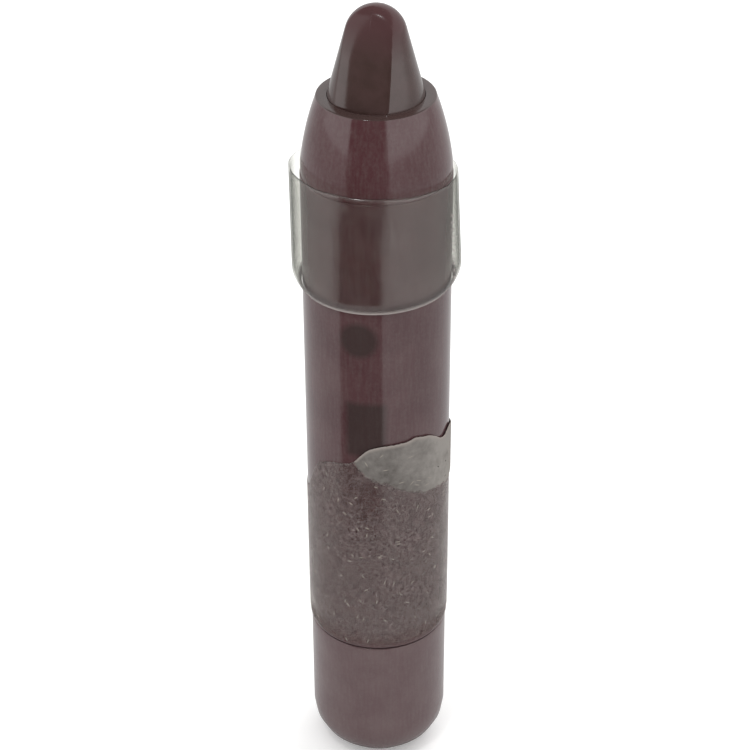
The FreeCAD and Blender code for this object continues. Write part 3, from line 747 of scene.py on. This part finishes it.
# %% [markdown]
# The finish of the label film is built in layers, from the barrel outwards: dust under the
# film, then the dried glue of the unstuck patch, paler towards the right, then lint and
# specks, and the film's own gloss over what is left clear. The dust thins out towards the
# foot, where hands wore it off.

# %% Place the patch and the dust
GRAIN, CLOUD = 0.7, 2.6  # sizes of the glue's grain and of a cloud of dust
GRIT = 0.32              # size of a grain of dust, coarser than the real one
RAGGED = 1.8             # how far the grain pushes the edge of the patch in and out
PATCH_COVER = 0.93       # the share of the barrel that the dried glue hides
LINT_COVER = 0.7
DUST_FROM, DUST_FULL = 1, 13     # heights above the foot where dust starts and is whole

label_finish, tree, label_place, label_clear, label_mirror, label_share = clear_film(
    "pet_label_torn", "#E0DAD5", 0.22, 0.7, FILM_FOOT)
patch = add(tree, "Attribute", attribute_name="lifted")
grain = add(tree, "TexNoise", {"Vector": label_place, "Scale": per_metre(GRAIN),
                               "Detail": 6.0, "Roughness": 0.7})
ragged = add(tree, "Math", {0: grain.outputs["Fac"], 1: -0.5}, operation="ADD")
patch_edge = add(tree, "Math", {0: ragged.outputs[0], 1: RAGGED,
                                2: patch.outputs["Fac"]}, operation="MULTIPLY_ADD")
patch_mask = add(tree, "MapRange", {"Value": patch_edge.outputs[0], "From Min": 0.15,
                                    "From Max": 0.65})
cloud = add(tree, "TexNoise", {"Vector": label_place, "Scale": per_metre(CLOUD),
                               "Detail": 5.0, "Roughness": 0.6})
dusty = add(tree, "MapRange", {"Value": cloud.outputs["Fac"], "From Min": 0.3,
                               "From Max": 0.7, "To Min": 0.06, "To Max": 0.42})
label_flat = unrolled(tree, label_place, FILM_R)
label_spot = add(tree, "SeparateXYZ", {"Vector": label_flat})
worn_off = add(tree, "MapRange", {"Value": label_spot.outputs["Y"],
                                  "From Min": FILM_FOOT + DUST_FROM,
                                  "From Max": FILM_FOOT + DUST_FULL, "To Min": 0.75})
dust_left = add(tree, "Math", {0: dusty.outputs[0], 1: worn_off.outputs[0]}, operation="MULTIPLY")

# %% Colour the dried glue and the dust
rightward = add(tree, "MapRange", {"Value": label_spot.outputs["X"], "From Min": 1.5,
                                   "From Max": 7.5, "To Min": -0.6, "To Max": 0.06})
mottled = add(tree, "Mix", {"Factor": 0.45, 2: cloud.outputs["Fac"], 3: grain.outputs["Fac"]})
patch_tone = add(tree, "Math", {0: mottled.outputs[0], 1: 1.8, 2: rightward.outputs[0]},
                 operation="MULTIPLY_ADD", use_clamp=True)
dried = add(tree, "Mix", {"Factor": patch_tone.outputs[0], 6: linear("#5B5653"),
                          7: linear("#9F9A95")}, data_type="RGBA")
edge = add(tree, "Attribute", attribute_name="torn")
glue = add(tree, "Mix", {"Factor": edge.outputs["Fac"], 6: dried.outputs[2],
                         7: linear("#A39A94")}, data_type="RGBA")
grit = add(tree, "TexNoise", {"Vector": label_place, "Scale": per_metre(GRIT),
                              "Detail": 8.0, "Roughness": 0.8})
gritty = add(tree, "MapRange", {"Value": grit.outputs["Fac"], "From Min": 0.4, "From Max": 0.6})
dust = add(tree, "Mix", {"Factor": gritty.outputs[0], 6: linear("#3D2B2C"),
                         7: linear("#A39190")}, data_type="RGBA")

# %% [markdown]
# Lint and specks are sparse cells, stretched into short threads that lie at several slants,
# some pale and some dark. A real fibre is 0.02 mm thick, and these are drawn about 0.07 mm
# thick.

# %% Scatter lint and specks
def threads(slant, shift, length, width, kept_share):
    """A mask of short threads, one in each kept cell of this length and width in mm."""
    laid = add(tree, "Mapping", {"Vector": label_flat, "Location": (shift, 0, 0),
                                 "Rotation": (0, 0, math.radians(slant)),
                                 "Scale": (length, width, 1)}, vector_type="TEXTURE")
    cells = add(tree, "TexVoronoi", {"Vector": laid.outputs[0], "Scale": 1.0},
                voronoi_dimensions="2D")
    thread = add(tree, "MapRange", {"Value": cells.outputs["Distance"], "From Min": 0.3,
                                    "From Max": 0.12})
    chance = add(tree, "SeparateColor", {"Color": cells.outputs["Color"]})
    kept = add(tree, "Math", {0: chance.outputs[0], 1: kept_share}, operation="LESS_THAN")
    return add(tree, "Math", {0: thread.outputs[0], 1: kept.outputs[0]},
               operation="MULTIPLY").outputs[0]


def union(masks):
    """The strongest of several masks."""
    whole = masks[0]
    for mask in masks[1:]:
        whole = add(tree, "Math", {0: whole, 1: mask}, operation="MAXIMUM").outputs[0]
    return whole


pale = union([threads(slant, 7 * slant, 1.3, 0.22, 0.01) for slant in (8, -25, 40, 75, -60)])
dark = union([threads(slant, 5 * slant, 0.6, 0.25, 0.006) for slant in (20, 85, -50)])

# %% Lay the layers over each other
top_tone = dust.outputs[2]
for mask, over in ((patch_mask.outputs[0], glue.outputs[2]), (dark, linear("#3A302E")),
                   (pale, linear("#A0988F"))):
    top_tone = add(tree, "Mix", {"Factor": mask, 6: top_tone, 7: over},
                   data_type="RGBA").outputs[2]
caked = add(tree, "Mix", {"Factor": patch_mask.outputs[0], 2: dust_left.outputs[0],
                          3: PATCH_COVER})
spots = add(tree, "Math", {0: union([pale, dark]), 1: LINT_COVER}, operation="MULTIPLY")
cover = add(tree, "Math", {0: caked.outputs[0], 1: spots.outputs[0]}, operation="MAXIMUM")
ripple = add(tree, "Bump", {"Height": grain.outputs["Fac"], "Strength": 0.35,
                            "Distance": 0.08 * MM})
matt = add(tree, "BsdfDiffuse", {"Color": top_tone, "Normal": ripple.outputs[0]})
tree.links.new(ripple.outputs[0], label_mirror.inputs["Normal"])
# at the foot the film is pressed flat, so its gloss fades there
pressed = add(tree, "MapRange", {"Value": label_spot.outputs["Y"],
                                 "From Min": FILM_FOOT + 0.3, "From Max": FILM_FOOT + 2})
film_share = add(tree, "Math", {0: label_share, 1: pressed.outputs[0]}, operation="MULTIPLY")
gloss_share = add(tree, "Mix", {"Factor": patch_mask.outputs[0], 2: film_share.outputs[0],
                                3: 0.02})
glossed = add(tree, "MixShader", {0: gloss_share.outputs[0], 1: label_clear,
                                  2: label_mirror.outputs[0]})
label_surface = add(tree, "MixShader", {0: cover.outputs[0], 1: glossed.outputs[0],
                                        2: matt.outputs[0]})
finish_with(label_finish, label_surface.outputs[0])
fit(label_film, "barrel", "label_film", label_finish)

# %% [markdown]
# ## The pieces inside
#
# The guide sleeve, hub, screw and nut are acetal, a slippery off-white engineering plastic,
# so no grease is needed. The cup is the barrel's own plastic, the ring is blued spring steel,
# the O-ring is nitrile rubber and the washer is punched from polyester sheet. Their shapes
# come from the frame as they are, and only their finish is made here.

# %% Finish the inner pieces
def inner_finish(name, colour, shade, grain_size, dig=0.01, **surface):
    """A finish with a little mottling. grain_size and dig, its depth, are in millimetres."""
    material, tree, place = new_finish(name)
    mottle = add(tree, "TexNoise", {"Vector": place, "Scale": per_metre(grain_size),
                                    "Detail": 4.0})
    tone = add(tree, "Mix", {"Factor": mottle.outputs["Fac"], 6: linear(colour),
                             7: linear(shade)}, data_type="RGBA")
    relief = add(tree, "Bump", {"Height": mottle.outputs["Fac"], "Strength": 0.3,
                                "Distance": dig * MM})
    settings = {word.replace("_", " ").title(): value for word, value in surface.items()}
    shader = add(tree, "BsdfPrincipled", {"Base Color": tone.outputs[2],
                                          "Normal": relief.outputs[0], **settings})
    finish_with(material, shader.outputs[0])
    return material


acetal = inner_finish("acetal_moulded", "#E4E0D4", "#D6D1C3", 0.8, roughness=0.32)
cup_plastic = inner_finish("abs_cup_moulded", "#4A3235", "#543C3F", 0.9, roughness=0.25)
washer_sheet = inner_finish("polyester_sheet_punched", "#2B2626", "#383131", 0.4, roughness=0.4)
rubber = inner_finish("nitrile_rubber_moulded", "#1B1B1C", "#262627", 0.15, 0.02, roughness=0.6)
steel = inner_finish("spring_steel_blued", "#4C5058", "#6B6F76", 0.2, roughness=0.3, metallic=1.0)

inner_pieces = {
    "guide_sleeve": acetal, "drive_hub": acetal, "lead_screw": acetal, "lift_nut": acetal,
    "bullet_cup": cup_plastic, "thrust_washer": washer_sheet, "o_ring": rubber,
    "retaining_ring": steel,
}
for node, material in inner_pieces.items():
    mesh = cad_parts[node].data
    mesh.materials.clear()
    mesh.materials.append(material)
print("inner pieces finished:", ", ".join(inner_pieces))

# %% [markdown]
# ## Floor and light
#
# The crayon stands on white paper under light from all round, so the background burns out and
# there is hardly a shadow. A round lamp above makes the small highlights on the dome and the
# rim, and a softbox at the right and behind gives the faint shadow at the lower left.
#
# Glossy plastic mirrors what is in front of it. In a tent of white cloth that is the dark gap
# left for the camera, and it is what draws the dark stripe. So one black card lies on the
# floor in front, another stands behind it, and a third closes the top of the tent. Only
# glossy rays see them: they block no light and cast no shadow.

# %% Lay the paper
FLOOR_SIZE = 3.0         # in metres
PAPER_AROUND = 0.68      # how bright the crayon finds the paper, which is exposed to white
PAPER_LIFT = 0.14        # over-exposure, which burns out all but the deepest shadow
floor_finish, floor_tree, floor_place = new_finish("white_paper")
fleck = add(floor_tree, "TexNoise", {"Vector": floor_place, "Scale": per_metre(4.0)})
paper = add(floor_tree, "Mix", {"Factor": fleck.outputs["Fac"], 6: linear("#FBFBFA"),
                                7: linear("#FEFEFE")}, data_type="RGBA")
dimmed = add(floor_tree, "Mix", {"Factor": 1.0, 6: paper.outputs[2],
                                 7: (PAPER_AROUND,) * 3 + (1,)},
             data_type="RGBA", blend_type="MULTIPLY")
path = add(floor_tree, "LightPath")
seen_paper = add(floor_tree, "Mix", {"Factor": path.outputs["Is Camera Ray"],
                                     6: dimmed.outputs[2], 7: paper.outputs[2]},
                 data_type="RGBA")
sheet = add(floor_tree, "BsdfDiffuse", {"Color": seen_paper.outputs[2]})
lift = add(floor_tree, "Math", {0: path.outputs["Is Camera Ray"], 1: PAPER_LIFT},
           operation="MULTIPLY")
over = add(floor_tree, "Emission", {"Strength": lift.outputs[0]})
paper_surface = add(floor_tree, "AddShader", {0: sheet.outputs[0], 1: over.outputs[0]})
finish_with(floor_finish, paper_surface.outputs[0])
bpy.ops.mesh.primitive_plane_add(size=FLOOR_SIZE)
floor = bpy.context.object
floor.name = "paper_floor"
floor.data.materials.append(floor_finish)

# %% Light the tent
WALLS_MIRRORED = (1.68, 0.9)     # the tent's lit side walls, and its back wall
scene = bpy.context.scene
world = bpy.data.worlds.new("white_surround")
scene.world = world
world.use_nodes = True
sky = world.node_tree
sky.nodes.clear()
mirrored = add(sky, "LightPath").outputs["Is Glossy Ray"]
way_out = add(sky, "SeparateXYZ", {"Vector": add(sky, "TexCoord").outputs["Generated"]})
wall = add(sky, "MapRange", {"Value": way_out.outputs["Y"], "From Min": -0.2, "From Max": 0.9,
                             "To Min": WALLS_MIRRORED[0], "To Max": WALLS_MIRRORED[1]})
strength = add(sky, "Mix", {"Factor": mirrored, 2: 1.0, 3: wall.outputs[0]})
walls = add(sky, "Background", {"Color": (1, 1, 1, 1), "Strength": strength.outputs[0]})
add(sky, "OutputWorld", {"Surface": walls.outputs[0]})
scene.view_settings.view_transform = "Standard"


def lamp(name, turn, height, distance, width, watts):
    """A round area lamp aimed at the crayon's middle. Angles are in degrees, sizes in metres."""
    light = bpy.data.lights.new(name, "AREA")
    light.shape, light.size, light.energy = "DISK", width, watts
    made = bpy.data.objects.new(name, light)
    scene.collection.objects.link(made)
    around, above = math.radians(turn), math.radians(height)
    way = Vector((math.sin(around) * math.cos(above), -math.cos(around) * math.cos(above),
                  math.sin(above)))
    middle = Vector((0, 0, (KNOB_FOOT + TIP) / 2 * MM))
    made.location = middle + way * distance
    made.rotation_euler = way.to_track_quat("Z", "Y").to_euler()
    print(f"{name}: {watts} W, {distance} m from the crayon")
    return made


lamp("small_overhead_lamp", turn=-24, height=60, distance=0.22, width=0.022, watts=0.06)
softbox = lamp("soft_back_right", turn=140, height=50, distance=0.6, width=0.5, watts=0.9)
softbox.visible_glossy = False

# %% Set the dark cards
card_finish, card_tree, _ = new_finish("black_card")
card_surface = add(card_tree, "BsdfDiffuse", {"Color": (0.01, 0.01, 0.01, 1)})
finish_with(card_finish, card_surface.outputs[0])
CARD_STEPS = 48


def dark_card(name, sides, section):
    """A card swept between two angles, in degrees. section is its (distance, height) in mm."""
    shape = bmesh.new()
    rows = []
    for step in range(CARD_STEPS + 1):
        turn = math.radians(sides[0] + (sides[1] - sides[0]) * step / CARD_STEPS)
        rows.append([shape.verts.new(Vector((out * math.sin(turn), -out * math.cos(turn), up))
                                     * MM) for out, up in section])
    for here, ahead in zip(rows, rows[1:]):
        for k in range(len(section) - 1):
            shape.faces.new((here[k], ahead[k], ahead[k + 1], here[k + 1]))
    card = to_object(name, shape)
    card.data.materials.append(card_finish)
    for kind in ("camera", "diffuse", "shadow", "transmission", "volume_scatter"):
        setattr(card, "visible_" + kind, False)


dark_card("card_on_floor", (-58, 7), [(48, 0.5), (132, 0.5)])
dark_card("card_standing", (-44, 17), [(130, 0.5), (130, 170), (100, 300)])
dark_card("card_overhead", (-180, 180), [(1, 320), (300, 320)])

# %% [markdown]
# ## Camera
#
# The camera looks down at the crayon from in front, from close by, so the barrel narrows
# towards its foot. A fairly long lens keeps the rest of the perspective quiet.

# %% Place the camera
CAMERA_DROP = math.radians(33)
CAMERA_DISTANCE = 200
CAMERA_ROLL = math.radians(-0.32)
AIM = Vector((-0.24, 0, 44.7))
FOCAL_LENGTH = 99.4
lens = bpy.data.cameras.new("camera")
lens.lens = FOCAL_LENGTH
lens.clip_start = 0.01
camera = bpy.data.objects.new("camera", lens)
camera.matrix_world = (Matrix.Translation(AIM * MM)
                       @ Matrix.Rotation(math.pi / 2 - CAMERA_DROP, 4, "X")
                       @ Matrix.Rotation(CAMERA_ROLL, 4, "Z")
                       @ Matrix.Translation((0, 0, CAMERA_DISTANCE * MM)))
scene.collection.objects.link(camera)
scene.camera = camera
print("camera at, mm:", [round(c / MM, 1) for c in camera.location])
